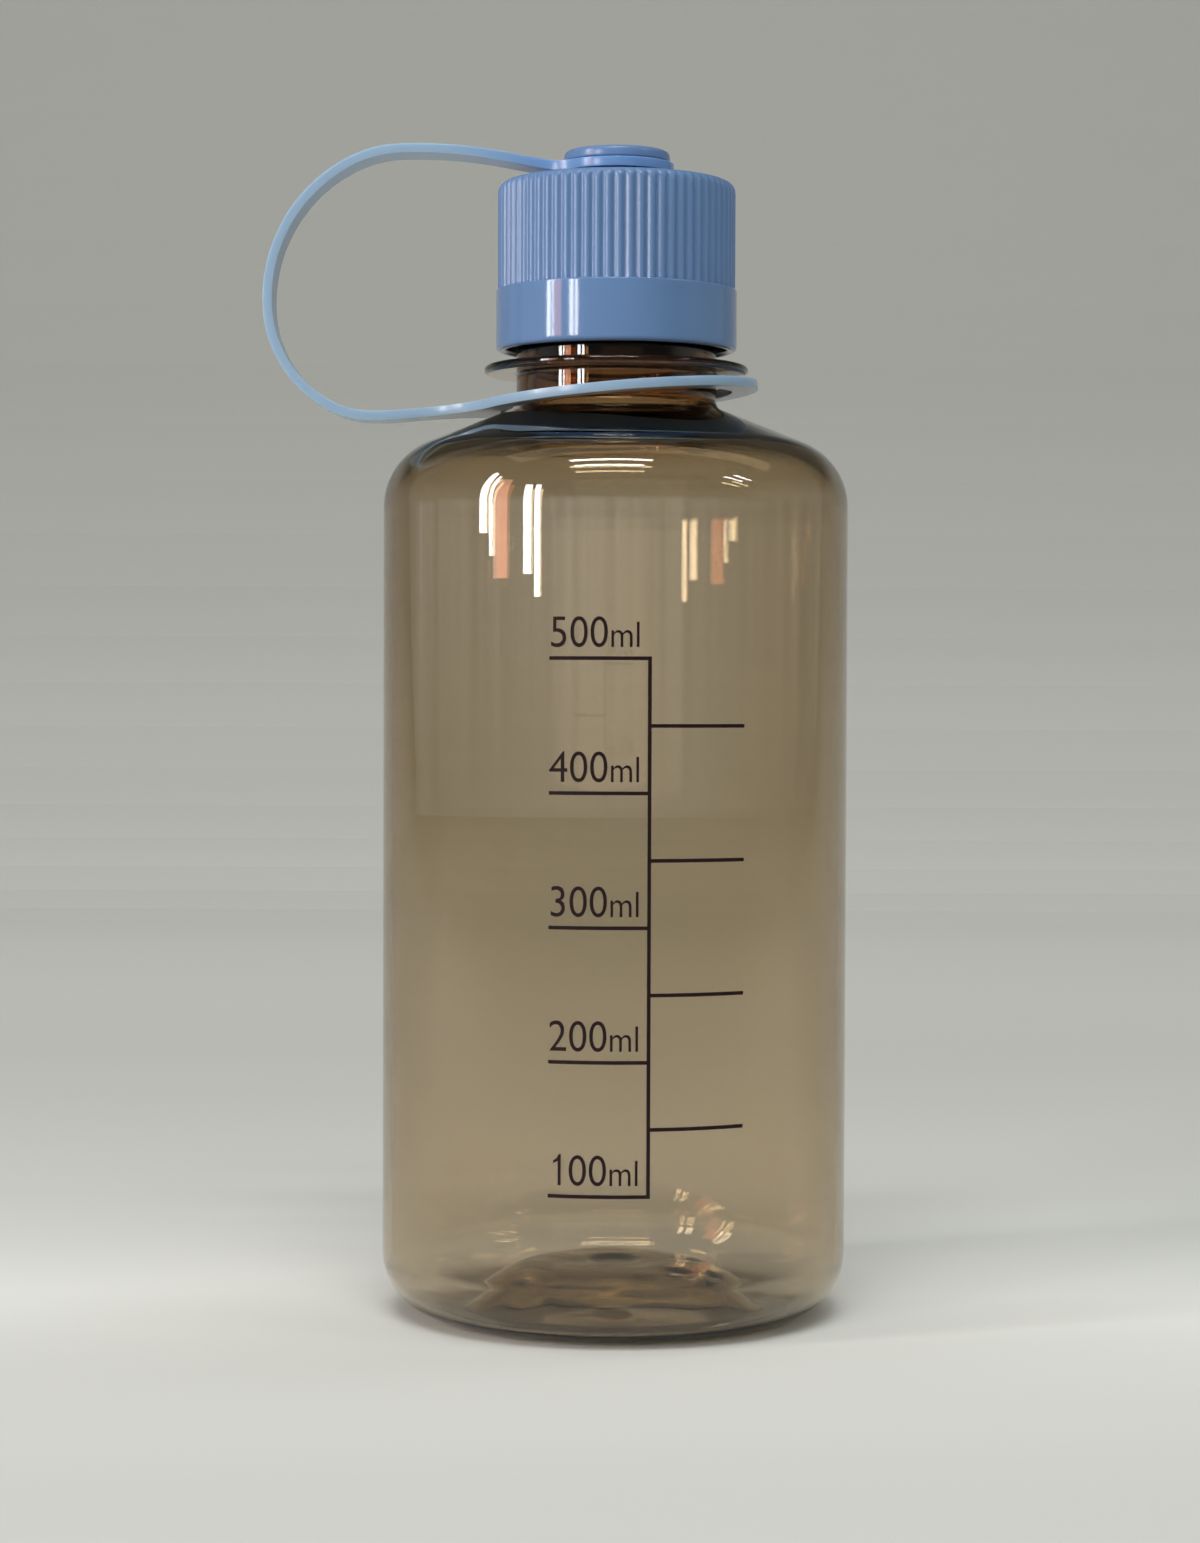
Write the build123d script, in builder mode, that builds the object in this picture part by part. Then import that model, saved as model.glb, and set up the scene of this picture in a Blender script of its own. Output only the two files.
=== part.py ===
from build123d import *
import math
import os

# A narrow-mouth screw-cap bottle with a scale, whose cap is tied to the neck by a moulded strap.
# All sizes are in millimetres. The Z axis is the bottle's axis and z = 0 is the surface it stands on.
# The scale is printed on the side that faces -Y, and the strap's loop stands out towards -X.

# ---- Bottle body, one blown piece
body_diameter = 80.0
body_wall = 1.6
heel_radius = 10.5  # between the wall and the foot
shoulder_height = 146.8  # where the line of the wall would meet the shoulder's cone
shoulder_slope = 22.0  # degrees above the horizontal
shoulder_radius = 11.8  # between the wall and the cone
push_up_height = 6.9  # how far the foot is pushed up in the middle
foot_ring_width = 4.4  # the flat ring it stands on, from the heel's bend to the push-up's flank
push_up_lean = 8.25  # how far the flank leans in from the ground to the push-up's flat top
push_up_bend = 20.2  # between the flat top and the flank, seen from below
push_up_wall = 1.8
push_up_rim_radius = 2.0  # where the flank meets the ring that the bottle stands on

# ---- Bottle neck
neck_diameter = 34.4
bore_diameter = 28.0
neck_height = 35.3  # from the shoulder to the mouth
neck_root_radius = 2.0
bore_root_radius = 3.5
root_thickening = 1.4  # how much thicker the shoulder is at the neck than at the body
lip_radius = 0.6
collar_diameter = 45.5  # the flange that keeps the strap's ring on the neck
collar_thickness = 1.5
collar_rise = 5.6  # from the shoulder to the collar's underside
collar_edge_radius = 0.7
thread_pitch = 4.2
thread_turns = 1.5
thread_height = 1.5  # how far the thread stands out from the neck
thread_root_width = 2.6
thread_crest_width = 0.9
thread_below_lip = 2.4  # from the mouth to the thread's top
thread_sink = 0.3  # how far the thread's root runs into the neck's wall

# ---- Printed scale
ink_thickness = 0.08
ink_line = 0.6
scale_zero = 3.97  # height of the scale's zero, which is not printed
scale_step = 21.73  # height of each 100 ml
scale_first = 1  # the first and last whole marks, in hundreds of ml
scale_last = 5
scale_line_x = 5.6  # the upright line
whole_mark_x = -10.6  # outer end of the marks at each 100 ml
half_mark_x = 21.0  # outer end of the marks half way between them

# ---- Screw cap, one moulded piece
thread_gap = 0.3  # between the neck's thread and the cap's bore
rib_floor_wall = 0.95  # the skirt's wall at the floor of the grooves between the ribs
groove_depth = 0.5
groove_radius = 0.62
rib_count = 69
band_step = 0.3  # how far the plain band at the cap's foot stands out from the ribs
band_height = 10.5
cap_height = 28.9
cap_top_wall = 1.8
cap_top_radius = 1.7
cap_foot_radius = 0.5

# ---- Boss on top of the cap, which the strap's eye is snapped over
seat_diameter = 19.0
seat_height = 1.55
post_diameter = 13.2
post_height = 1.95
head_diameter = 18.2
head_thickness = 1.9
head_edge_radius = 0.8
boss_core_diameter = 9.0  # hollow under the boss, open to the inside of the cap
boss_core_depth = 4.6

# ---- Sealing ring
seal_thickness = 1.4
seal_side_gap = 0.4  # between the ring and the cap's bore
seal_inner_diameter = 28.6

# ---- Strap, one moulded piece: eye, band and neck ring
strap_thickness = 1.6
strap_width = 8.0
eye_diameter = 19.6
eye_post_gap = 0.4  # between the eye's hole and the post
eye_blend_radius = 8.0
neck_ring_outer_diameter = 49.0
neck_ring_inner_diameter = 40.0
neck_ring_tilt = 5.0  # degrees: the strap pulls the ring down on its own side
neck_ring_clearance = 0.35  # between the ring's low side and the shoulder
neck_ring_blend_radius = 14.0
# The loop bends through these arcs. It leaves the eye level, rises, goes over its crest, down its
# outer side and back under to the neck ring. Its outer bend and its lower run, which have no size
# here, are as large as the space between the eye and the neck ring needs.
eye_lead = 0.2  # level stretch past the eye
rise_radius = 8.0
rise_turn = 10.5
rise_run = 8.4
crest_radius = 79.5
crest_turn = 12.4
brow_radius = 20.8
brow_turn = 25.9
outer_run = 0.6224
heel_bend_radius = 20.0
heel_bend_turn = 65.0
under_radius = 13.8
under_turn = 22.7
tail_radius = 45.8

# ---- Places worked out from the sizes above
body_radius = body_diameter / 2
push_up_rim = body_radius - heel_radius - foot_ring_width  # where the flank meets the ground
push_up_top = push_up_rim - push_up_lean  # where the flank would meet the flat top
neck_radius = neck_diameter / 2
bore_radius = bore_diameter / 2
slope_rise = math.tan(math.radians(shoulder_slope))
slope_wall = body_wall / math.cos(math.radians(shoulder_slope))  # the shoulder's wall, straight up
neck_root = shoulder_height + (body_radius - neck_radius) * slope_rise
mouth = neck_root + neck_height
cap_bore_radius = neck_radius + thread_height + thread_gap
rib_crest_radius = cap_bore_radius + rib_floor_wall + groove_depth
band_radius = rib_crest_radius + band_step
cap_ceiling = mouth + seal_thickness
cap_top = cap_ceiling + cap_top_wall
cap_foot = cap_top - cap_height
band_top = cap_foot + band_height
seat_top = cap_top + seat_height
head_foot = seat_top + post_height
head_top = head_foot + head_thickness
eye_height = (seat_top + head_foot) / 2


def cone_height(radius):
    """Height of the shoulder's outer cone at a distance from the axis."""
    return shoulder_height + (body_radius - radius) * slope_rise


def bottle_half(radius, foot, corner, inner_radius, root, top, bends):
    """Half section of a bottle's outside or of its hollow, with bends at heel, shoulder and root."""
    with BuildSketch() as half:
        with BuildLine():
            Polyline((0, foot), (radius, foot), (radius, corner), (inner_radius, root),
                     (inner_radius, top), (0, top), close=True)
        make_face()
        for place, bend in zip(((radius, foot), (radius, corner), (inner_radius, root)), bends):
            fillet(half.vertices().sort_by_distance(place)[0], bend)
    return half.sketch


def push_up(rim, foot, corner, height, bend):
    """Half section of the space that pushes up the foot: a flank and a flat top, bent together."""
    with BuildSketch() as half:
        with BuildLine():
            Polyline((0, foot), (rim, foot), (corner, height), (0, height), close=True)
        make_face()
        fillet(half.vertices().sort_by_distance((corner, height))[0], bend)
    return half.sketch


# The bottle is turned from the outline of its outside less the outline of its hollow.
with BuildPart() as bottle:
    with BuildSketch(Plane.XZ) as outside:
        add(bottle_half(body_radius, 0, shoulder_height, neck_radius, neck_root, mouth,
                        (heel_radius, shoulder_radius, neck_root_radius)))
        fillet(outside.vertices().sort_by_distance((neck_radius, mouth))[0], lip_radius)
        add(push_up(push_up_rim, 0, push_up_top, push_up_height, push_up_bend), mode=Mode.SUBTRACT)
        fillet(outside.vertices().sort_by_distance((push_up_rim, 0))[0], push_up_rim_radius)
    revolve(axis=Axis.Z)
    with BuildSketch(Plane.XZ) as collar:
        with Locations((neck_radius, neck_root + collar_rise)):
            Rectangle((collar_diameter - neck_diameter) / 2, collar_thickness,
                      align=(Align.MIN, Align.MIN))
        fillet(collar.vertices().group_by(Axis.X)[-1], collar_edge_radius)
    revolve(axis=Axis.Z)
    hollow_corner = shoulder_height + body_wall * slope_rise - slope_wall
    hollow_root = cone_height(bore_radius) - slope_wall - root_thickening
    flank = math.atan(push_up_height / (push_up_rim - push_up_top))
    flank_rim = push_up_rim + push_up_wall / math.sin(flank) - body_wall / math.tan(flank)
    flank_top = push_up_top + push_up_wall * math.tan(flank / 2)
    with BuildSketch(Plane.XZ) as hollow:
        add(bottle_half(body_radius - body_wall, body_wall, hollow_corner, bore_radius, hollow_root,
                        mouth + body_wall,
                        (heel_radius - body_wall, shoulder_radius - body_wall, bore_root_radius)))
        add(push_up(flank_rim, body_wall, flank_top, push_up_height + push_up_wall,
                    push_up_bend + push_up_wall), mode=Mode.SUBTRACT)
        fillet(hollow.vertices().sort_by_distance((flank_rim, body_wall))[0], push_up_rim_radius)
    revolve(axis=Axis.Z, mode=Mode.SUBTRACT)
    thread_rise = thread_turns * thread_pitch
    thread_start = mouth - thread_below_lip - thread_root_width / 2 - thread_rise
    with BuildLine(Plane.XY.offset(thread_start)):
        helix = Helix(pitch=thread_pitch, height=thread_rise, radius=neck_radius)
    with BuildSketch(Plane(origin=helix @ 0, x_dir=(1, 0, 0), z_dir=helix % 0)):
        with BuildLine():
            Polyline((-thread_sink, -thread_root_width / 2), (0, -thread_root_width / 2),
                     (thread_height, -thread_crest_width / 2),
                     (thread_height, thread_crest_width / 2),
                     (0, thread_root_width / 2), (-thread_sink, thread_root_width / 2), close=True)
        make_face()
    sweep(path=helix, is_frenet=True)
bottle.part.label = "bottle"

# The scale is a skin of ink: its marks are drawn flat, run out to the wall and kept where they meet it.
with BuildPart() as printed_scale:
    with BuildSketch(Plane.XZ) as marks:
        first_height = scale_zero + scale_first * scale_step
        last_height = scale_zero + scale_last * scale_step
        with Locations((scale_line_x, (first_height + last_height) / 2)):
            Rectangle(ink_line, last_height - first_height + ink_line)
        for hundred in range(scale_first, scale_last + 1):
            with Locations((whole_mark_x, scale_zero + hundred * scale_step)):
                Rectangle(scale_line_x - whole_mark_x, ink_line, align=(Align.MIN, Align.CENTER))
        for hundred in range(scale_first, scale_last):
            with Locations((half_mark_x, scale_zero + (hundred + 0.5) * scale_step)):
                Rectangle(half_mark_x - scale_line_x, ink_line, align=(Align.MAX, Align.CENTER))
    extrude(amount=body_diameter)
    with BuildSketch(Plane.XY):
        Circle(body_radius + ink_thickness)
        Circle(body_radius, mode=Mode.SUBTRACT)
    extrude(amount=mouth, mode=Mode.INTERSECT)
printed_scale.part.label = "printed_scale"

# The cap: a plain band, a ribbed grip above it and a headed boss on top, all one moulding.
with BuildPart() as cap:
    with BuildSketch(Plane.XY.offset(cap_foot)):
        Circle(band_radius)
    extrude(amount=band_height)
    with BuildSketch(Plane.XY.offset(band_top)):
        Circle(rib_crest_radius)
    extrude(amount=cap_top - band_top)
    fillet(cap.edges().group_by(Axis.Z)[-1], cap_top_radius)
    fillet(cap.edges().group_by(Axis.Z)[0], cap_foot_radius)
    with BuildSketch(Plane.XY.offset(band_top)):
        with PolarLocations(rib_crest_radius + groove_radius - groove_depth, rib_count):
            Circle(groove_radius)
    extrude(amount=cap_height, mode=Mode.SUBTRACT)
    with BuildSketch(Plane.XY.offset(cap_top)):
        Circle(seat_diameter / 2)
    extrude(amount=seat_height)
    with BuildSketch(Plane.XY.offset(seat_top)):
        Circle(post_diameter / 2)
    extrude(amount=post_height)
    with BuildSketch(Plane.XY.offset(head_foot)):
        Circle(head_diameter / 2)
    extrude(amount=head_thickness)
    fillet(cap.edges().group_by(Axis.Z)[-1], head_edge_radius)
    with BuildSketch(Plane.XY.offset(cap_foot)):
        Circle(cap_bore_radius)
    extrude(amount=cap_ceiling - cap_foot, mode=Mode.SUBTRACT)
    with BuildSketch(Plane.XY.offset(cap_ceiling)):
        Circle(boss_core_diameter / 2)
    extrude(amount=boss_core_depth, mode=Mode.SUBTRACT)
cap.part.label = "cap"

# The sealing ring lies in the cap, flat on the bottle's lip.
with BuildPart() as sealing_ring:
    with BuildSketch(Plane.XY.offset(mouth)):
        Circle(cap_bore_radius - seal_side_gap)
        Circle(seal_inner_diameter / 2, mode=Mode.SUBTRACT)
    extrude(amount=seal_thickness)
sealing_ring.part.label = "sealing_ring"

# The neck ring lies round the neck, tilted, with its low side just clear of the shoulder.
tilt = math.radians(neck_ring_tilt)
neck_ring_radius = neck_ring_inner_diameter / 2
neck_ring_height = (cone_height(neck_ring_radius) + neck_ring_clearance
                    + neck_ring_radius * math.tan(tilt) + strap_thickness / 2 / math.cos(tilt))
ring_plane = Plane(origin=(0, 0, neck_ring_height),
                   x_dir=(math.cos(tilt), 0, math.sin(tilt)),
                   z_dir=(-math.sin(tilt), 0, math.cos(tilt)))


def arc_step(heading, radius, turn):
    """How far an arc goes across and up when it leaves at a heading and turns left, in degrees."""
    start, end = math.radians(heading), math.radians(heading + turn)
    return Vector(radius * (math.sin(end) - math.sin(start)),
                  radius * (math.cos(start) - math.cos(end)))


def past(line, length):
    """The point at a length past the end of a line, straight on."""
    return line @ 1 + (line % 1) * length


# The middle line of the strap seen from the side, in X and Z.
with BuildLine() as strap_path:
    eye_run = Line((eye_diameter, eye_height), (-eye_diameter / 2 - eye_lead, eye_height))
    rise = JernArc(eye_run @ 1, eye_run % 1, rise_radius, -rise_turn)
    slope = Line(rise @ 1, past(rise, rise_run))
    crest = JernArc(slope @ 1, slope % 1, crest_radius, crest_turn)
    brow = JernArc(crest @ 1, crest % 1, brow_radius, brow_turn)
    outer_turn = 90 + rise_turn - crest_turn - brow_turn  # until the strap hangs straight down
    tail_turn = 90 + neck_ring_tilt - heel_bend_turn - under_turn  # until it lies along the ring
    lower_steps = (arc_step(270, heel_bend_radius, heel_bend_turn)
                   + arc_step(270 + heel_bend_turn, under_radius, under_turn)
                   + arc_step(360 + neck_ring_tilt - tail_turn, tail_radius, tail_turn))
    ring_edge = Vector(-neck_ring_radius * math.cos(tilt),
                       neck_ring_height - neck_ring_radius * math.sin(tilt))
    gap = ring_edge - brow @ 1 - lower_steps + Vector(0, outer_run)
    outer_step = arc_step(270 - outer_turn, 1, outer_turn)  # for each millimetre of its radius
    outer_radius = ((gap.X * math.sin(tilt) - gap.Y * math.cos(tilt))
                    / (outer_step.X * math.sin(tilt) - outer_step.Y * math.cos(tilt)))
    lower_length = (gap.X - outer_radius * outer_step.X) / math.cos(tilt)
    outer = JernArc(brow @ 1, brow % 1, outer_radius, outer_turn)
    hanging = Line(outer @ 1, past(outer, outer_run))
    heel_bend = JernArc(hanging @ 1, hanging % 1, heel_bend_radius, heel_bend_turn)
    under = JernArc(heel_bend @ 1, heel_bend % 1, under_radius, under_turn)
    tail = JernArc(under @ 1, under % 1, tail_radius, tail_turn)
    ring_run = Line(tail @ 1, past(tail, lower_length + 2 * neck_ring_outer_diameter))

# The strap as it was moulded, seen from above: an eye and a ring, each blended into the band.
with BuildPart() as strap_outline:
    band_reach = body_diameter
    with BuildSketch(Plane.XY.offset(eye_height - strap_width)) as eye_plan:
        Circle(eye_diameter / 2)
        Rectangle(band_reach, strap_width, align=(Align.MAX, Align.CENTER))
        inner_corners = eye_plan.vertices().filter_by_position(Axis.X, -eye_diameter / 2, -0.1)
        fillet(inner_corners, eye_blend_radius)
    extrude(amount=2 * strap_width)
    with BuildSketch(ring_plane) as ring_plan:
        Circle(neck_ring_outer_diameter / 2)
        Rectangle(band_reach, strap_width, align=(Align.MAX, Align.CENTER))
        inner_corners = ring_plan.vertices().filter_by_position(
            Axis.X, -neck_ring_outer_diameter / 2, -0.1)
        fillet(inner_corners, neck_ring_blend_radius)
    extrude(amount=strap_width, both=True)
    with BuildSketch(Plane.XY.offset(neck_root - strap_width)):
        Rectangle(band_reach, strap_width, align=(Align.MAX, Align.CENTER))
    extrude(amount=head_top + strap_width - neck_root)

with BuildPart() as strap:
    with BuildSketch(Plane.XZ):
        with BuildLine():
            offset(strap_path.wire(), amount=strap_thickness / 2, side=Side.BOTH)
        make_face()
    extrude(amount=neck_ring_outer_diameter / 2, both=True)
    add(strap_outline.part, mode=Mode.INTERSECT)
    with BuildSketch(Plane.XY.offset(eye_height)):
        Circle(post_diameter / 2 + eye_post_gap)
    extrude(amount=strap_thickness, both=True, mode=Mode.SUBTRACT)
    with BuildSketch(ring_plane):
        Circle(neck_ring_inner_diameter / 2)
    extrude(amount=strap_thickness, both=True, mode=Mode.SUBTRACT)
strap.part.label = "strap"

os.makedirs("parts", exist_ok=True)
for piece in (bottle, printed_scale, cap, sealing_ring, strap):
    export_step(piece.part, f"parts/{piece.part.label}.step")
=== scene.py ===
"""Dresses a tethered screw-cap bottle, its ribbed cap and its strap around the solids."""

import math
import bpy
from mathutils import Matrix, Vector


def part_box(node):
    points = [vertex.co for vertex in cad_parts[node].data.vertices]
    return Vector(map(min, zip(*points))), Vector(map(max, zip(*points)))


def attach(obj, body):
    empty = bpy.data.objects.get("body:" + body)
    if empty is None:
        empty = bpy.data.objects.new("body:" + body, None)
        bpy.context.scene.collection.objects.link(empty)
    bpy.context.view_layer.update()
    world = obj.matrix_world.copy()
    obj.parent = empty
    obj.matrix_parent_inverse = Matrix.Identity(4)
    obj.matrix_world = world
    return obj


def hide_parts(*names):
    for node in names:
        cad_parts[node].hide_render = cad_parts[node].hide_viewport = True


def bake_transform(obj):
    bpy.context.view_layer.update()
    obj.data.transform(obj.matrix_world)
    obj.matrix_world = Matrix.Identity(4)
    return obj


bl_info = {
    "name": "Tethered Bottle",
    "version": (1, 0, 0),
    "blender": (4, 5, 0),
    "location": "View3D > Sidebar > Bottle",
    "description": "Models a tinted bottle with a printed scale, a ribbed cap and a strap",
    "category": "Add Mesh",
}

import bmesh
import bpy
from bpy.props import FloatProperty, FloatVectorProperty, IntProperty, PointerProperty
from bpy.types import Operator, Panel, PropertyGroup
from mathutils import Vector, noise

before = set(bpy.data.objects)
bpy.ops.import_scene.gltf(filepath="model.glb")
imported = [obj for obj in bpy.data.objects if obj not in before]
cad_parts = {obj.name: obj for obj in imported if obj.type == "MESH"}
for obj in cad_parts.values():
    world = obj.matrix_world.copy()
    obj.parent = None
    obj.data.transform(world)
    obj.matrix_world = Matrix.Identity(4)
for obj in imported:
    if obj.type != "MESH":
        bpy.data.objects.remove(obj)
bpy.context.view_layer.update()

MM = 0.001
TURN = 2 * math.pi
BOTTLE_LOW, BOTTLE_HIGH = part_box("bottle")
CAP_LOW, CAP_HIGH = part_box("cap")
SEAL_LOW, SEAL_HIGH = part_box("sealing_ring")
INK_LOW, INK_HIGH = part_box("printed_scale")
MOUTH = BOTTLE_HIGH.z
CEILING = SEAL_HIGH.z

TOUCH = 0.01 * MM  # places this close count as the same


# ---- Sizes and colours that a user would change


def length(name, millimetres, description):
    """A size in millimetres as a length property."""
    return FloatProperty(name=name, description=description, default=millimetres * MM,
                         unit="LENGTH", precision=5)


def tint(name, colour, description):
    """A colour property."""
    return FloatVectorProperty(name=name, description=description, default=colour,
                               subtype="COLOR", min=0.0, max=1.0)


class BottleShape(PropertyGroup):
    """The blown bottle."""

    wall: length("Wall", 1.6, "Thickness of the body's wall")
    heel_bend: length("Heel bend", 10.5, "Bend between the wall and the foot")
    heel_thinning: length("Heel thinning", 1.4, "How much tighter the heel's bend is inside")
    shoulder_corner: length("Shoulder corner", 146.8, "Where wall and shoulder would meet")
    shoulder_bend: length("Shoulder bend", 11.8, "Bend between the wall and the shoulder")
    shoulder_slope: FloatProperty(name="Shoulder slope", description="Angle above the horizontal",
                                  default=math.radians(22.0), subtype="ANGLE")
    push_up_height: length("Push-up height", 6.9, "How far the foot is pushed up")
    push_up_rim: length("Push-up rim", 25.1, "Where the push-up's flank meets the ground")
    push_up_top: length("Push-up top", 16.85, "Where the flank would meet the flat top")
    push_up_bend: length("Push-up bend", 20.2, "Bend between the flank and the flat top")
    push_up_wall: length("Push-up wall", 1.8, "Thickness of the pushed-up foot")
    push_up_rim_bend: length("Rim bend", 2.0, "Bend between the flank and the ring it stands on")
    gate_radius: length("Gate radius", 5.0, "Shallow dish in the middle of the push-up")
    gate_depth: length("Gate depth", 0.6, "Depth of that dish")
    neck_radius: length("Neck radius", 17.2, "Outside of the neck")
    bore_radius: length("Bore radius", 14.0, "Inside of the neck")
    root_thickening: length("Root thickening", 1.4, "How much thicker the shoulder is at the neck")
    neck_root_bend: length("Neck root bend", 2.0, "Bend between the shoulder and the neck")
    bore_root_bend: length("Bore root bend", 3.5, "The same bend on the inside")
    collar_radius: length("Collar radius", 22.75, "Rim of the flange round the neck")
    collar_rise: length("Collar rise", 5.6, "From the shoulder to the flange")
    collar_thickness: length("Collar thickness", 1.5, "Thickness of the flange")
    thread_pitch: length("Thread pitch", 4.2, "Rise of the thread in one turn")
    thread_turns: FloatProperty(name="Thread turns", description="Length of the thread",
                                default=1.5)
    thread_height: length("Thread height", 1.5, "How far the thread stands out")
    thread_root: length("Thread root", 2.6, "Width of the thread at the neck")
    thread_crest: length("Thread crest", 0.9, "Width of the thread at its top")
    thread_below_lip: length("Thread below lip", 2.4, "From the mouth to the thread's top")


class CapShape(PropertyGroup):
    """The screw cap and the boss on its top."""

    rib_count: IntProperty(name="Ribs", description="Ribs round the grip", default=69, min=12)
    band_height: length("Band height", 10.5, "Plain band at the foot of the cap")
    band_step: length("Band step", 0.3, "How far the band stands out from the ribs")
    groove_depth: length("Groove depth", 0.5, "Depth between two ribs")
    bore_radius: length("Bore radius", 19.0, "Inside of the cap")
    top_wall: length("Top wall", 1.8, "Thickness of the cap's top")
    top_bend: length("Top bend", 1.7, "Rounded edge round the cap's top")
    foot_bend: length("Foot bend", 0.8, "Rounded edge round the cap's foot")
    seat_radius: length("Seat radius", 9.5, "Raised seat that the strap lies on")
    seat_height: length("Seat height", 1.55, "Height of the seat")
    post_radius: length("Post radius", 6.6, "Post in the strap's eye")
    post_height: length("Post height", 1.95, "Height of the post")
    head_radius: length("Head radius", 9.1, "Head over the strap's eye")
    head_bend: length("Head bend", 0.8, "Rounded edge of the head")
    head_dish: length("Head dish", 0.18, "Slight hollow in the head's top")
    seal_radius: length("Seal radius", 14.3, "Inside of the sealing ring")
    core_radius: length("Core radius", 4.5, "Hollow under the boss")
    core_depth: length("Core depth", 4.6, "Depth of that hollow")


class StrapShape(PropertyGroup):
    """The strap that ties the cap to the neck."""

    thickness: length("Thickness", 1.6, "Thickness of the moulding")
    width: length("Width", 8.0, "Width of the band")
    edge_bend: length("Edge bend", 0.5, "Rounded edges of the moulding")
    eye_radius: length("Eye radius", 9.8, "Outside of the eye")
    eye_hole: length("Eye hole", 7.0, "Hole of the eye")
    eye_blend: length("Eye blend", 8.0, "Blend between the eye and the band")
    ring_radius: length("Ring radius", 24.5, "Outside of the neck ring")
    ring_hole: length("Ring hole", 20.0, "Hole of the neck ring")
    ring_blend: length("Ring blend", 14.0, "Blend between the ring and the band")
    ring_tilt: FloatProperty(name="Ring tilt", description="Tilt of the neck ring",
                             default=math.radians(5.0), subtype="ANGLE")
    ring_clearance: length("Ring clearance", 0.35, "Between the ring and the shoulder")
    eye_lead: length("Eye lead", 0.2, "Level stretch past the eye")
    rise_run: length("Rise run", 8.4, "Straight stretch before the crest")


class ScaleShape(PropertyGroup):
    """The printed scale."""

    zero: length("Zero", 3.97, "Height of the scale's zero")
    step: length("Step", 21.73, "Height of 100 ml")
    line: length("Line", 0.6, "Width of a printed line")
    ink_thickness: length("Ink", 0.06, "Thickness of the ink")
    gap: length("Gap", 1.48, "Between a mark and the digits over it")
    digit_size: length("Digit size", 7.22, "Size of the digits' letters")
    digit_width: FloatProperty(name="Digit width", description="Width against its usual width",
                               default=0.898)
    digits_left: length("Digits", -10.68, "Left end of the digits")
    unit_size: length("Unit size", 6.05, "Size of the unit's letters")
    unit_width: FloatProperty(name="Unit width", description="Width against its usual width",
                              default=0.87)
    unit_left: length("Unit", -0.95, "Left end of the unit")


class Finishes(PropertyGroup):
    """Colours of the pieces."""

    wall_tint: tint("Wall tint", (0.673, 0.532, 0.27), "Tint of the bottle's plastic")
    neck_tint: tint("Neck tint", (0.81, 0.63, 0.46), "Further tint of the denser neck")
    cap_blue: tint("Cap blue", (0.131, 0.238, 0.448), "Blue of the cap")
    # Painted sheen: the strap's lighter blue stands in for the sheen on its loop; the eye keeps
    # the plastic's deeper blue.
    strap_sheen_blue: tint("Strap blue", (0.30, 0.44, 0.59), "Lighter blue of the strap")
    eye_blue: tint("Eye blue", (0.155, 0.30, 0.56), "Deeper blue of the strap's eye")
    ink: tint("Ink", (0.012, 0.003, 0.005), "Ink of the scale")
    seal: tint("Seal", (0.72, 0.71, 0.68), "Soft sealing ring")
    floor: tint("Floor", (0.735, 0.757, 0.730), "Pale floor")
    backdrop: tint("Backdrop", (0.495, 0.508, 0.482), "Grey-green backdrop")


# ---- Outlines


def rounded(corners, steps=6):
    """Points of an outline through corners of (across, up, bend), with an arc at each bend."""
    points = []
    for number, (across, up, bend) in enumerate(corners):
        corner = Vector((across, up))
        if bend == 0:
            points.append(corner)
            continue
        before = (Vector(corners[number - 1][:2]) - corner).normalized()
        after = (Vector(corners[number + 1][:2]) - corner).normalized()
        half = before.angle(after) / 2
        centre = corner + (before + after).normalized() * bend / math.sin(half)
        first = corner + before * bend / math.tan(half) - centre
        last = corner + after * bend / math.tan(half) - centre
        start, turn = math.atan2(first.y, first.x), first.angle_signed(last)
        for step in range(steps + 1):
            angle = start - turn * step / steps
            points.append(centre + Vector((math.cos(angle), math.sin(angle))) * bend)
    return points


def stepped(start, end, step):
    """Points between two points, the first left out, about a step apart."""
    count = max(1, round((end - start).length / step))
    return [start.lerp(end, number / count) for number in range(1, count + 1)]


def held(points, margin=0.3 * MM, shortest=2.0 * MM):
    """The same outline with a point near each end of a long run, which keeps it flat."""
    kept = [points[0]]
    for here, there in zip(points, points[1:]):
        run = (there - here).length
        if run > shortest:
            kept += [here.lerp(there, margin / run), here.lerp(there, 1 - margin / run)]
        kept.append(there)
    return kept


# ---- Modelling in edit mode


def leave_and_deselect():
    """Back to object mode with nothing selected."""
    if bpy.context.object and bpy.context.object.mode != "OBJECT":
        bpy.ops.object.mode_set(mode="OBJECT")
    bpy.ops.object.select_all(action="DESELECT")


def edit_all():
    """Into edit mode with everything selected."""
    bpy.ops.object.mode_set(mode="EDIT")
    bpy.ops.mesh.select_all(action="SELECT")


def join(whole, parts, name):
    """Joins parts to the one that is the whole, and names it."""
    leave_and_deselect()
    for part in parts:
        part.select_set(True)
    bpy.context.view_layer.objects.active = whole
    bpy.ops.object.join()
    whole.name = whole.data.name = name


def apply_modifier(piece, name, kind, **settings):
    """Gives a piece a modifier with its settings, and applies it."""
    modifier = piece.modifiers.new(name, kind)
    for key, value in settings.items():
        setattr(modifier, key, value)
    bpy.ops.object.modifier_apply(modifier=modifier.name)


def share_of_turn(place):
    """How far round the Z axis a place is, from 0 to 1."""
    return (math.atan2(place.y, place.x) % TURN) / TURN


def move_out(vertex, factor):
    """Moves a vertex away from the Z axis by a factor."""
    vertex.co.x *= factor
    vertex.co.y *= factor


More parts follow.
